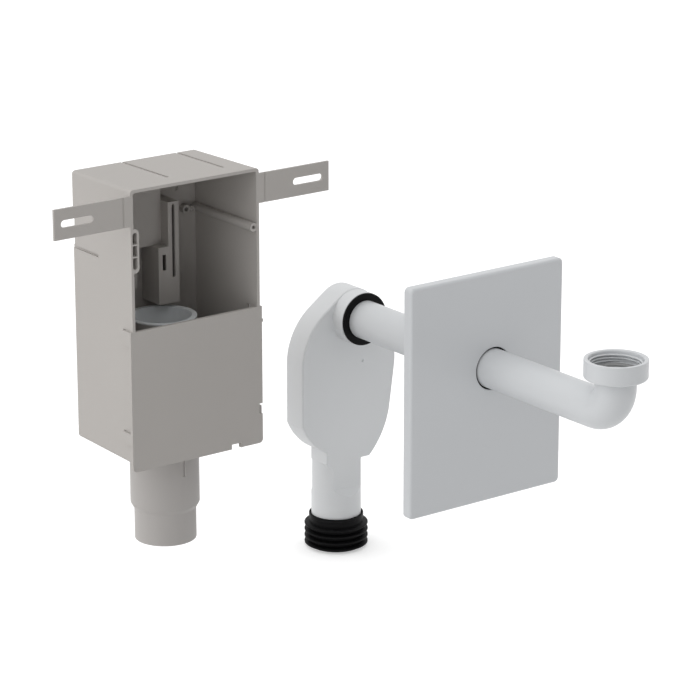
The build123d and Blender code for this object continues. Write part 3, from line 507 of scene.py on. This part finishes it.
# Socket sleeve: a thin lining of blue-white polyethylene in the socket, with its rim on top.
# It keeps the socket clean while the wall is tiled.
SLEEVE_WHITE = (0.88, 0.91, 0.93, 1.0)
SLEEVE_ROUGHNESS = 0.3
SLEEVE_SHINE = 0.5
SLEEVE_EDGE_ROUND = 0.0003
sleeve_plastic = surfaced(
    "sleeve_polyethylene",
    mould_grain,
    SLEEVE_SHINE,
    Tone=SLEEVE_WHITE,
    Tone_Change=0.03,
    Gloss=SLEEVE_ROUGHNESS,
    Gloss_Change=0.06,
    Grain_Depth=0.04,
)
sleeve = moulded_copy("socket_sleeve", "sleeve_lining", SLEEVE_EDGE_ROUND)
fit_out(sleeve, sleeve_plastic, "set", "sleeve_plastic", "socket_sleeve")

# Trap body: two shells in light grey polypropylene, a deep tray and its lid, welded along
# the narrow side. The weld is a hairline, and the lid runs flush into the outlet tube.
TRAP_GREY = (0.700, 0.712, 0.722, 1.0)
TRAP_ROUGHNESS = 0.42
TRAP_SHINE = 0.4
TRAP_EDGE_ROUND = 0.0005
WELD_Y = -0.0010
WELD_SHARE = 0.2
NECK_SEAM_Z = 0.0278
FLAT_Y = -0.0045
FLAT_FOOT_Z = -0.0025
FLAT_RISE = 0.0060
TUBE_FRONT_Y = -0.0097


def trap_edge_share(edge):
    """Rounds the trap's edges in full, the weld little and the neck's seam not at all."""
    ends = [corner.co for corner in edge.verts]
    if all(abs(end.z - NECK_SEAM_Z) < SEAM_SLACK and end.y < WELD_Y for end in ends):
        return 0.0
    if all(abs(end.y - WELD_Y) < SEAM_SLACK for end in ends):
        return WELD_SHARE
    return 1.0


def slant_flat_foot(work):
    """Ends the flat on the outlet tube in a ramp, not in a ledge."""
    for corner in work.verts:
        place = corner.co
        if abs(place.z - FLAT_FOOT_Z) < SEAM_SLACK and place.y < FLAT_Y + SEAM_SLACK:
            depth = (place.y - TUBE_FRONT_Y) / (FLAT_Y - TUBE_FRONT_Y)
            place.z += FLAT_RISE * min(max(depth, 0.0), 1.0)


trap_plastic = surfaced(
    "trap_polypropylene",
    mould_grain,
    TRAP_SHINE,
    Tone=TRAP_GREY,
    Tone_Change=0.03,
    Gloss=TRAP_ROUGHNESS,
    Gloss_Change=0.08,
    Grain_Depth=0.10,
)
rear_shell = moulded_copy(
    "trap_rear_shell", "trap_tray", TRAP_EDGE_ROUND, trap_edge_share, slant_flat_foot
)
fit_out(rear_shell, trap_plastic, "set", "trap_plastic", "trap_rear_shell")
front_shell = moulded_copy("trap_front_shell", "trap_lid", TRAP_EDGE_ROUND, trap_edge_share)
fit_out(front_shell, trap_plastic, "set", "trap_plastic", "trap_front_shell")

# Inlet seal: a ring of black rubber pushed into the collar, with its lip over the collar's
# end. The pipe slides and turns in it.
RUBBER_BLACK = (0.0035, 0.0035, 0.0038, 1.0)
RUBBER_SHINE = 0.09
BLOOM_SCALE = 60.0
BLOOM_DETAIL = 3.0
BLOOM_DULLING = 0.3
PORE_SCALE = 3200.0
PORE_DETAIL = 2.0
PORE_HEIGHT = 0.0001
SEAL_EDGE_ROUND = 0.0004

# Rubber skin: fine pores, and the dull bloom that vulcanised rubber takes on in patches.
rubber_skin, skin_in, skin_out = new_tree(
    "rubber_skin",
    "ShaderNodeTree",
    [
        ("Place", "NodeSocketVector", None),
        ("Tone", "NodeSocketColor", None),
        ("Bloom", "NodeSocketFloat", 0.3),
        ("Gloss", "NodeSocketFloat", 0.5),
        ("Pore Depth", "NodeSocketFloat", 0.2),
    ],
    [
        ("Colour", "NodeSocketColor"),
        ("Roughness", "NodeSocketFloat"),
        ("Normal", "NodeSocketVector"),
    ],
)
bloom = maths(
    rubber_skin,
    "MULTIPLY",
    noise(rubber_skin, skin_in.outputs["Place"], BLOOM_SCALE, BLOOM_DETAIL),
    skin_in.outputs["Bloom"],
)
bloom_tone = maths(rubber_skin, "ADD", bloom, 1.0)
feed(
    rubber_skin,
    scaled_colour(rubber_skin, skin_in.outputs["Tone"], bloom_tone),
    skin_out.inputs["Colour"],
)
feed(
    rubber_skin,
    maths(rubber_skin, "MULTIPLY_ADD", bloom, BLOOM_DULLING, skin_in.outputs["Gloss"]),
    skin_out.inputs["Roughness"],
)
pores = noise(rubber_skin, skin_in.outputs["Place"], PORE_SCALE, PORE_DETAIL)
feed(
    rubber_skin,
    bumped(rubber_skin, pores, skin_in.outputs["Pore Depth"], PORE_HEIGHT),
    skin_out.inputs["Normal"],
)

black_rubber = surfaced(
    "seal_rubber",
    rubber_skin,
    RUBBER_SHINE,
    Tone=RUBBER_BLACK,
    Bloom=0.6,
    Gloss=0.42,
    Pore_Depth=0.15,
)
inlet_seal = moulded_copy("inlet_seal", "collar_seal", SEAL_EDGE_ROUND)
fit_out(inlet_seal, black_rubber, "seal", "seal_rubber", "inlet_seal")

# Outlet seal: a sleeve of black rubber pulled over the outlet tube's end, moulded with a lip
# on top, a foot under the tube and four ribs that squeeze into the drain's socket.
SLEEVE_OUTER = 0.0225
SLEEVE_INNER = 0.0211
LIP_RADIUS = 0.0230
LIP_HEIGHT = 0.0030
FOOT_INNER = 0.0185
FOOT_THICKNESS = 0.0029
RIB_COUNT = 4
RIB_PITCH = 0.0056
FIRST_RIB_BELOW_TOP = 0.0092
RIB_RADIUS = 0.0269
RIB_ROOT = 0.0038
RIB_CREST = 0.0013
RIB_ROUNDING = 0.0006
RUBBER_ROUNDING = 0.0004
SEAL_STEPS = 128

seal_tree, seal_in, seal_out = geometry_tree(
    "ribbed_sleeve",
    [
        ("Top", "NodeSocketVector"),
        ("Height", "NodeSocketFloat"),
        ("Sleeve Outer", "NodeSocketFloat"),
        ("Sleeve Inner", "NodeSocketFloat"),
        ("Lip Radius", "NodeSocketFloat"),
        ("Lip Height", "NodeSocketFloat"),
        ("Foot Inner", "NodeSocketFloat"),
        ("Foot Thickness", "NodeSocketFloat"),
        ("Rounding", "NodeSocketFloat"),
        ("Rib Count", "NodeSocketInt"),
        ("Rib Pitch", "NodeSocketFloat"),
        ("First Rib", "NodeSocketFloat"),
        ("Rib Radius", "NodeSocketFloat"),
        ("Rib Root", "NodeSocketFloat"),
        ("Rib Crest", "NodeSocketFloat"),
        ("Rib Rounding", "NodeSocketFloat"),
        ("Material", "NodeSocketMaterial"),
    ],
)


def hoop(tree, inner, outer, top, height, rounding):
    """A hoop of rounded rectangular section that hangs down from the given height."""
    shape = made_of(
        tree,
        "GeometryNodeCurvePrimitiveQuadrilateral",
        Width=maths(tree, "SUBTRACT", outer, inner),
        Height=height,
    )
    middle = maths(tree, "MULTIPLY", maths(tree, "ADD", inner, outer), 0.5)
    section = rounded(tree, shape.outputs[0], rounding)
    laid = made_of(
        tree,
        "GeometryNodeTransform",
        Geometry=swept_ring(tree, middle, section, SEAL_STEPS),
        Translation=along(tree, "Z", maths(tree, "MULTIPLY_ADD", height, -0.5, top)),
    )
    return laid.outputs[0]


seal_sleeve = hoop(
    seal_tree,
    seal_in.outputs["Sleeve Inner"],
    seal_in.outputs["Sleeve Outer"],
    0.0,
    seal_in.outputs["Height"],
    seal_in.outputs["Rounding"],
)
seal_lip = hoop(
    seal_tree,
    seal_in.outputs["Sleeve Inner"],
    seal_in.outputs["Lip Radius"],
    0.0,
    seal_in.outputs["Lip Height"],
    seal_in.outputs["Rounding"],
)
foot_top = maths(
    seal_tree, "SUBTRACT", seal_in.outputs["Foot Thickness"], seal_in.outputs["Height"]
)
seal_foot = hoop(
    seal_tree,
    seal_in.outputs["Foot Inner"],
    seal_in.outputs["Sleeve Outer"],
    foot_top,
    seal_in.outputs["Foot Thickness"],
    seal_in.outputs["Rounding"],
)
rib_foot = maths(
    seal_tree, "SUBTRACT", seal_in.outputs["Sleeve Outer"], seal_in.outputs["Rounding"]
)
rib_profile = ridge_profile(
    seal_tree,
    maths(seal_tree, "SUBTRACT", seal_in.outputs["Rib Radius"], rib_foot),
    seal_in.outputs["Rib Root"],
    seal_in.outputs["Rib Crest"],
    seal_in.outputs["Rib Rounding"],
    False,
)
rib = swept_ring(seal_tree, rib_foot, rib_profile, SEAL_STEPS)
first_rib = maths(seal_tree, "MULTIPLY", seal_in.outputs["First Rib"], -1.0)
rib_drop = maths(seal_tree, "MULTIPLY", seal_in.outputs["Rib Pitch"], -1.0)
rib_line = made_of(
    seal_tree,
    "GeometryNodeMeshLine",
    Count=seal_in.outputs["Rib Count"],
    Start_Location=along(seal_tree, "Z", first_rib),
    Offset=along(seal_tree, "Z", rib_drop),
)
ribs = made_of(
    seal_tree, "GeometryNodeInstanceOnPoints", Points=rib_line.outputs[0], Instance=rib
)
seal_parts = seal_tree.nodes.new("GeometryNodeJoinGeometry")
for part in (seal_sleeve, seal_lip, seal_foot, ribs.outputs[0]):
    feed(seal_tree, part, seal_parts.inputs[0])
seal_laid = made_of(
    seal_tree,
    "GeometryNodeTransform",
    Geometry=seal_parts.outputs[0],
    Translation=seal_in.outputs["Top"],
)
end_tree(seal_tree, seal_out, seal_laid.outputs[0], seal_in.outputs["Material"])

seal_low, seal_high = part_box("outlet_seal")
seal_middle = (seal_low + seal_high) / 2
outlet_seal = grown(
    "ribbed_seal",
    seal_tree,
    {
        "Top": (seal_middle.x, seal_middle.y, seal_high.z),
        "Height": seal_high.z - seal_low.z,
        "Sleeve Outer": SLEEVE_OUTER,
        "Sleeve Inner": SLEEVE_INNER,
        "Lip Radius": LIP_RADIUS,
        "Lip Height": LIP_HEIGHT,
        "Foot Inner": FOOT_INNER,
        "Foot Thickness": FOOT_THICKNESS,
        "Rounding": RUBBER_ROUNDING,
        "Rib Count": RIB_COUNT,
        "Rib Pitch": RIB_PITCH,
        "First Rib": FIRST_RIB_BELOW_TOP,
        "Rib Radius": RIB_RADIUS,
        "Rib Root": RIB_ROOT,
        "Rib Crest": RIB_CREST,
        "Rib Rounding": RIB_ROUNDING,
        "Material": black_rubber,
    },
)
fit_out(outlet_seal, black_rubber, "set", "seal_rubber", "outlet_seal")

# Connection bend: a polypropylene pipe with a tight bend at its end and a flange that the
# union nut holds. It slides in the inlet seal, and turns to either side in it.
PIPE_GREY = (0.625, 0.640, 0.655, 1.0)
PIPE_ROUGHNESS = 0.36
PIPE_SHINE = 0.45
PIPE_EDGE_ROUND = 0.0004
pipe_plastic = surfaced(
    "pipe_polypropylene",
    mould_grain,
    PIPE_SHINE,
    Tone=PIPE_GREY,
    Tone_Change=0.02,
    Gloss=PIPE_ROUGHNESS,
    Gloss_Change=0.06,
    Grain_Depth=0.05,
)
bend = moulded_copy("connection_bend", "bent_pipe", PIPE_EDGE_ROUND)
fit_out(bend, pipe_plastic, "bend", "pipe_plastic", "connection_bend")

# Gasket: a flat ring of grey rubber that lies on the bend's flange, inside the nut.
GASKET_GREY = (0.30, 0.30, 0.30, 1.0)
GASKET_SHINE = 0.3
GASKET_EDGE_ROUND = 0.0002
grey_rubber = surfaced(
    "gasket_rubber",
    rubber_skin,
    GASKET_SHINE,
    Tone=GASKET_GREY,
    Bloom=0.1,
    Gloss=0.6,
    Pore_Depth=0.2,
)
gasket = moulded_copy("nut_gasket", "flat_gasket", GASKET_EDGE_ROUND)
fit_out(gasket, grey_rubber, "bend", "gasket_rubber", "nut_gasket")

# Union nut: a round polypropylene nut with a G 1 1/4 thread of eleven turns to the inch. It
# turns under the bend's flange and draws the waste's tail down on the gasket.
THREAD_PITCH = 0.0254 / 11
THREAD_ROOT = 0.02095
THREAD_CREST = 0.01948
THREAD_SINK = 0.00005
THREAD_ROOT_WIDTH = 0.0022
THREAD_CREST_WIDTH = 0.0008
THREAD_ROUNDING = 0.0006
THREAD_TURNS = 2.6
THREAD_TAPER = 0.08
THREAD_END_SHARE = 0.05
THREAD_BELOW_TOP = 0.0014
THREAD_STEPS = 72
MOUTH_RADIUS = 0.0216
NUT_BORE = 0.0195
NUT_MOUTH = 0.0205
NUT_EDGE_ROUND = 0.0008
RADIUS_SLACK = 0.0003

nut_low, nut_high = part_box("union_nut")
nut_middle = (nut_low + nut_high) / 2


def open_to_root(work):
    """Opens the nut's plain bore out to the root of the thread."""
    for corner in work.verts:
        across = corner.co.x - nut_middle.x
        along = corner.co.y - nut_middle.y
        radius = hypot(across, along)
        if abs(radius - NUT_BORE) < RADIUS_SLACK:
            wide = THREAD_ROOT
        elif abs(radius - NUT_MOUTH) < RADIUS_SLACK and corner.co.z > nut_high.z - WELD:
            wide = MOUTH_RADIUS
        else:
            continue
        corner.co.x = nut_middle.x + across * wide / radius
        corner.co.y = nut_middle.y + along * wide / radius


nut = moulded_copy("union_nut", "nut_body", NUT_EDGE_ROUND, reshape=open_to_root)
fit_out(nut, pipe_plastic, "nut", "pipe_plastic", "union_nut")

thread_tree, thread_in, thread_out = geometry_tree(
    "nut_thread",
    [
        ("Foot", "NodeSocketVector"),
        ("Pitch", "NodeSocketFloat"),
        ("Turns", "NodeSocketFloat"),
        ("Root Radius", "NodeSocketFloat"),
        ("Crest Radius", "NodeSocketFloat"),
        ("Root Width", "NodeSocketFloat"),
        ("Crest Width", "NodeSocketFloat"),
        ("Rounding", "NodeSocketFloat"),
        ("Run-out", "NodeSocketFloat"),
        ("Material", "NodeSocketMaterial"),
    ],
)
thread_path = made_of(
    thread_tree,
    "GeometryNodeCurveSpiral",
    Resolution=THREAD_STEPS,
    Rotations=thread_in.outputs["Turns"],
    Start_Radius=thread_in.outputs["Root Radius"],
    End_Radius=thread_in.outputs["Root Radius"],
    Height=maths(
        thread_tree, "MULTIPLY", thread_in.outputs["Turns"], thread_in.outputs["Pitch"]
    ),
    Reverse=True,
)
thread_upright = thread_tree.nodes.new("GeometryNodeSetCurveNormal")
thread_upright.mode = "Z_UP"
feed(thread_tree, thread_path.outputs[0], thread_upright.inputs["Curve"])
thread_height = maths(
    thread_tree,
    "SUBTRACT",
    thread_in.outputs["Root Radius"],
    thread_in.outputs["Crest Radius"],
)
thread_profile = ridge_profile(
    thread_tree,
    thread_height,
    thread_in.outputs["Root Width"],
    thread_in.outputs["Crest Width"],
    thread_in.outputs["Rounding"],
    True,
)
along_thread = thread_tree.nodes.new("GeometryNodeSplineParameter")
from_end = maths(
    thread_tree,
    "MINIMUM",
    along_thread.outputs["Factor"],
    maths(thread_tree, "SUBTRACT", 1.0, along_thread.outputs["Factor"]),
)
run_out = maths(thread_tree, "DIVIDE", from_end, thread_in.outputs["Run-out"])
at_most_full = maths(thread_tree, "MINIMUM", run_out, 1.0)
fullness = maths(thread_tree, "MAXIMUM", at_most_full, THREAD_END_SHARE)
thread_ridge = made_of(
    thread_tree,
    "GeometryNodeCurveToMesh",
    Curve=thread_upright.outputs[0],
    Profile_Curve=thread_profile,
    Scale=fullness,
    Fill_Caps=True,
)
thread_laid = made_of(
    thread_tree,
    "GeometryNodeTransform",
    Geometry=thread_ridge.outputs[0],
    Translation=thread_in.outputs["Foot"],
)
end_tree(thread_tree, thread_out, thread_laid.outputs[0], thread_in.outputs["Material"])

thread_top = nut_high.z - THREAD_BELOW_TOP - THREAD_ROOT_WIDTH / 2
thread_foot = thread_top - THREAD_TURNS * THREAD_PITCH
thread = grown(
    "nut_thread",
    thread_tree,
    {
        "Foot": (nut_middle.x, nut_middle.y, thread_foot),
        "Pitch": THREAD_PITCH,
        "Turns": THREAD_TURNS,
        "Root Radius": THREAD_ROOT + THREAD_SINK,
        "Crest Radius": THREAD_CREST,
        "Root Width": THREAD_ROOT_WIDTH,
        "Crest Width": THREAD_CREST_WIDTH,
        "Rounding": THREAD_ROUNDING,
        "Run-out": THREAD_TAPER,
        "Material": pipe_plastic,
    },
)
fit_out(thread, pipe_plastic, "nut", "pipe_plastic")

# Cover plate: a shallow plastic tray that hides the hole in the wall. It slides on the pipe
# until its rim meets the tiles.
PLATE_GREY = (0.622, 0.637, 0.654, 1.0)
PLATE_ROUGHNESS = 0.38
PLATE_SHINE = 0.4
PLATE_EDGE_ROUND = 0.0005
plate_plastic = surfaced(
    "plate_plastic",
    mould_grain,
    PLATE_SHINE,
    Tone=PLATE_GREY,
    Tone_Change=0.03,
    Gloss=PLATE_ROUGHNESS,
    Gloss_Change=0.06,
    Grain_Depth=0.06,
)
plate = moulded_copy("cover_plate", "plate_tray", PLATE_EDGE_ROUND)
fit_out(plate, plate_plastic, "plate", "plate_plastic", "cover_plate")

# Plate ring: a thin lining of black rubber in the plate's hole, which holds it on the pipe.
RING_EDGE_ROUND = 0.0002
ring = moulded_copy("plate_ring", "hole_ring", RING_EDGE_ROUND)
fit_out(ring, black_rubber, "plate", "seal_rubber", "plate_ring")

# Studio floor: matt white, just under the lowest seal. It looks white to the camera and in
# reflections, and keeps the set's soft shadow.
FLOOR_GAP = 0.0006
FLOOR_HALF = 6.0
FLOOR_WHITE = (0.8, 0.8, 0.8, 1.0)
FLOOR_ROUGHNESS = 0.9
FLOOR_LIFT = 0.42


def seen_white(tree):
    """One on rays that the eye, a gloss or clear material sends out, and nothing on others."""
    rays = tree.nodes.new("ShaderNodeLightPath").outputs
    straight = maths(tree, "MAXIMUM", rays["Is Camera Ray"], rays["Is Glossy Ray"])
    return maths(tree, "MAXIMUM", straight, rays["Is Transmission Ray"])


floor_z = cad_box[0].z - FLOOR_GAP
floor_mesh = bpy.data.meshes.new("studio_floor")
floor_mesh.from_pydata(
    [
        (-FLOOR_HALF, -FLOOR_HALF, floor_z),
        (FLOOR_HALF, -FLOOR_HALF, floor_z),
        (FLOOR_HALF, FLOOR_HALF, floor_z),
        (-FLOOR_HALF, FLOOR_HALF, floor_z),
    ],
    [],
    [(0, 1, 2, 3)],
)
floor = link(bpy.data.objects.new("studio_floor", floor_mesh))
floor_paint = bpy.data.materials.new("floor_paint")
floor_paint.use_nodes = True
floor_tree = floor_paint.node_tree
floor_shader = floor_tree.nodes["Principled BSDF"]
floor_shader.inputs["Base Color"].default_value = FLOOR_WHITE
floor_shader.inputs["Roughness"].default_value = FLOOR_ROUGHNESS
floor_shader.inputs["Specular IOR Level"].default_value = 0.0
floor_glow = floor_tree.nodes.new("ShaderNodeEmission")
feed(
    floor_tree,
    maths(floor_tree, "MULTIPLY", seen_white(floor_tree), FLOOR_LIFT),
    floor_glow.inputs["Strength"],
)
floor_sum = floor_tree.nodes.new("ShaderNodeAddShader")
feed(floor_tree, floor_shader.outputs[0], floor_sum.inputs[0])
feed(floor_tree, floor_glow.outputs[0], floor_sum.inputs[1])
feed(floor_tree, floor_sum.outputs[0], floor_tree.nodes["Material Output"].inputs["Surface"])
floor_mesh.materials.append(floor_paint)

# Studio dome: soft light from all round, more of it from the left and a little behind, less
# from the front, as the photograph's fronts are a shade darker than its tops and left sides.
DOME_LEVEL = 0.93
KEY_LEVEL = 0.80
KEY_FROM = Vector((-0.75, 0.35, 0.10)).normalized()
FRONT_LOSS = 1.10
FRONT = Vector((0.0, -1.0, 0.0))
KEY_SPREAD = 2.0
FRONT_SPREAD = 4.0

dome = bpy.data.worlds.new("studio_dome")
bpy.context.scene.world = dome
dome.use_nodes = True
dome_tree = dome.node_tree
dome_light = dome_tree.nodes["Background"]
dome_place = dome_tree.nodes.new("ShaderNodeTexCoord")


def toward(tree, direction, sharpness):
    """How squarely a direction of the dome faces the given one, and none behind."""
    node = tree.nodes.new("ShaderNodeVectorMath")
    node.operation = "DOT_PRODUCT"
    feed(tree, dome_place.outputs["Generated"], node.inputs[0])
    node.inputs[1].default_value = direction
    ahead = maths(tree, "MAXIMUM", node.outputs["Value"], 0.0)
    return maths(tree, "POWER", ahead, sharpness)


key_part = toward(dome_tree, KEY_FROM, KEY_SPREAD)
with_key = maths(dome_tree, "MULTIPLY_ADD", key_part, KEY_LEVEL, DOME_LEVEL)
front_share = toward(dome_tree, FRONT, FRONT_SPREAD)
front_part = maths(dome_tree, "MULTIPLY", front_share, FRONT_LOSS)
less_front = maths(dome_tree, "SUBTRACT", with_key, front_part)
dome_level = maths(dome_tree, "MAXIMUM", less_front, 0.0)
dome_mix = dome_tree.nodes.new("ShaderNodeMix")
feed(dome_tree, seen_white(dome_tree), dome_mix.inputs["Factor"])
feed(dome_tree, dome_level, dome_mix.inputs["A"])
dome_mix.inputs["B"].default_value = 1.0
feed(dome_tree, dome_mix.outputs["Result"], dome_light.inputs["Strength"])
dome_light.inputs["Color"].default_value = (1.0, 1.0, 1.0, 1.0)

# Camera: a long lens at the photograph's angle, from the left and a little above.
LENS = 164.821
SENSOR = 36.0
FAR_CLIP = 60.0
CAMERA_PLACE = (-1.3439, -2.0380, 0.9167)
CAMERA_DOWN = radians(17.303)
CAMERA_TURN = radians(-36.909)
camera_data = bpy.data.cameras.new("studio_camera")
camera_data.lens = LENS
camera_data.sensor_width = SENSOR
camera_data.clip_end = FAR_CLIP
camera = link(bpy.data.objects.new("studio_camera", camera_data))
camera.location = CAMERA_PLACE
camera.rotation_euler = (radians(90) - CAMERA_DOWN, 0, CAMERA_TURN)
bpy.context.scene.camera = camera
bpy.context.scene.view_settings.view_transform = "Standard"
